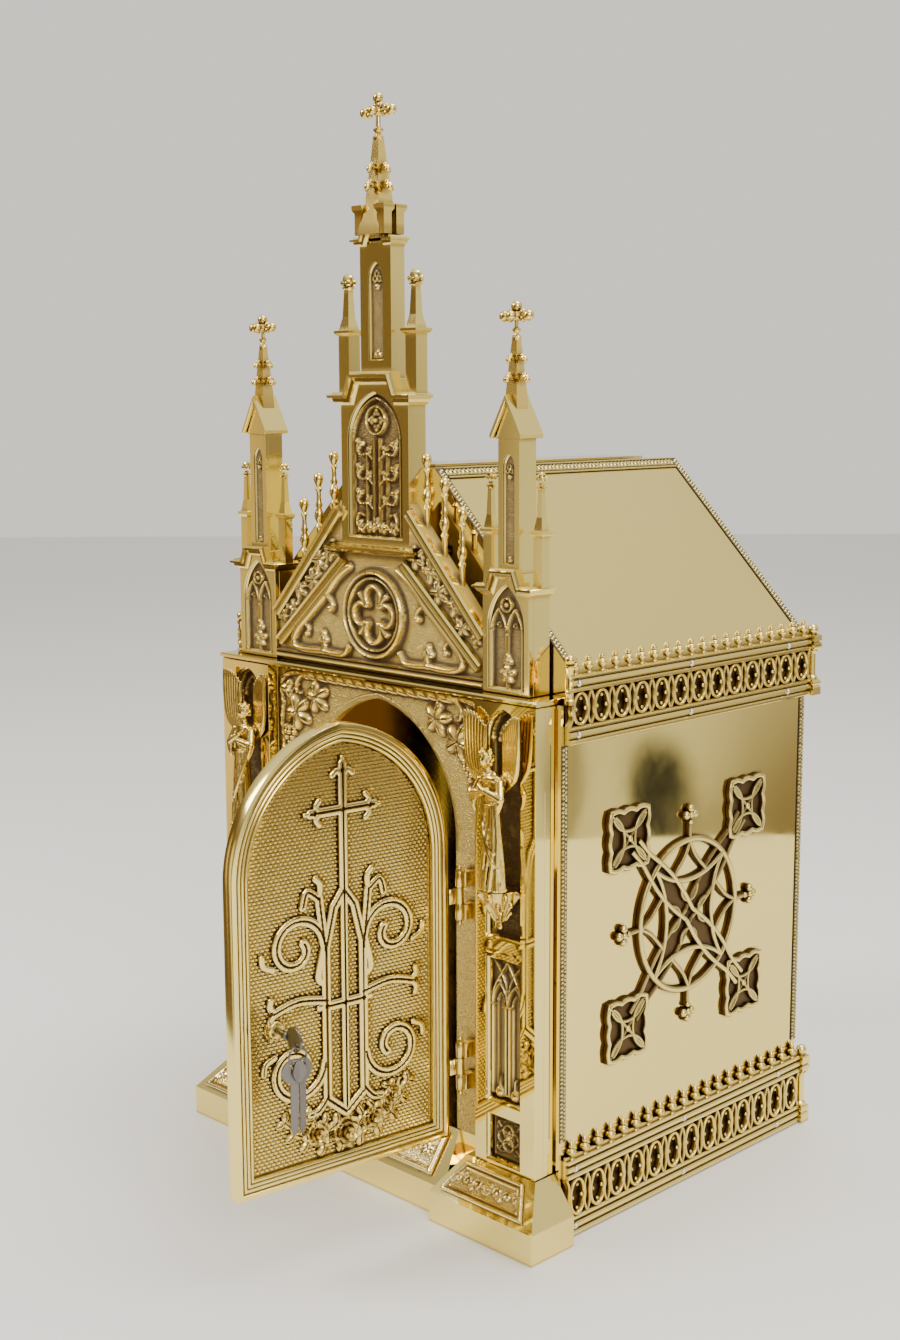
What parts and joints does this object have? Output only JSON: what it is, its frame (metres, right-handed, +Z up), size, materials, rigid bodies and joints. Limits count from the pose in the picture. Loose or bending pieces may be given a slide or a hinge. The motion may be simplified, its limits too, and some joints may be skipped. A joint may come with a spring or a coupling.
{
  "type": "altar tabernacle",
  "caption": "Gothic church-front cabinet of polished brass with pierced side galleries, gable, spired towers and a pointed door standing open on side hinges.",
  "frame": {"origin": "middle of the plinth's underside, on the plane of the pilaster faces", "axes": "+Z up, the front faces -Y, +X to the right as seen from the front"},
  "size_m": [0.425, 0.5651, 0.9004],
  "materials": {
    "cast_brass": "cast, polished on the high parts and darkened in the recesses",
    "polished_brass": "lacquered mirror polish, pale gold",
    "antique_brass": "filigree strip with dark brown ground",
    "key_steel": "worn nickelled steel"
  },
  "bodies": {
    "cabinet": {"angel_left": "cast_brass", "angel_right": "cast_brass", "case": "polished_brass", "centre_spire": "cast_brass", "centre_tower": "cast_brass", "corbel_left": "cast_brass", "corbel_right": "cast_brass", "cornice": "polished_brass", "front_edge_strip_left": "antique_brass", "front_edge_strip_right": "antique_brass", "front_frame": "cast_brass", "front_rake_strip_left": "antique_brass", "front_rake_strip_right": "antique_brass", "gable": "cast_brass", "hinge_frame_lower": "cast_brass", "hinge_frame_upper": "cast_brass", "inner_floor": "polished_brass", "lower_gallery_left": "cast_brass", "lower_gallery_right": "cast_brass", "lower_rear_post_left": "cast_brass", "lower_rear_post_right": "cast_brass", "medallion_left": "cast_brass", "medallion_right": "cast_brass", "plinth": "polished_brass", "rear_edge_strip_left": "antique_brass", "rear_edge_strip_right": "antique_brass", "rear_rake_strip_left": "antique_brass", "rear_rake_strip_right": "antique_brass", "ridge_strip_left": "antique_brass", "ridge_strip_right": "antique_brass", "roof": "polished_brass", "roof_plate": "polished_brass", "side_spire_left": "cast_brass", "side_spire_right": "cast_brass", "side_tower_left": "cast_brass", "side_tower_right": "cast_brass", "upper_gallery_left": "cast_brass", "upper_gallery_right": "cast_brass", "upper_rear_post_left": "cast_brass", "upper_rear_post_right": "cast_brass"},
    "door": {"door_frame": "polished_brass", "door_garland": "cast_brass", "door_ornament": "cast_brass", "door_panel": "cast_brass", "hinge_door_lower": "cast_brass", "hinge_door_upper": "cast_brass", "key_ring": "key_steel", "lock_key": "key_steel", "lock_rosette": "cast_brass", "spare_key_front": "key_steel", "spare_key_rear": "key_steel"}
  },
  "joints": [
    {"name": "door_hinge", "type": "hinge", "parent": "cabinet", "child": "door", "pos_m": [0.1095, 0, 0.198], "axis": [0, 0, 1], "range_deg": [-82.6, 40]}
  ]
}
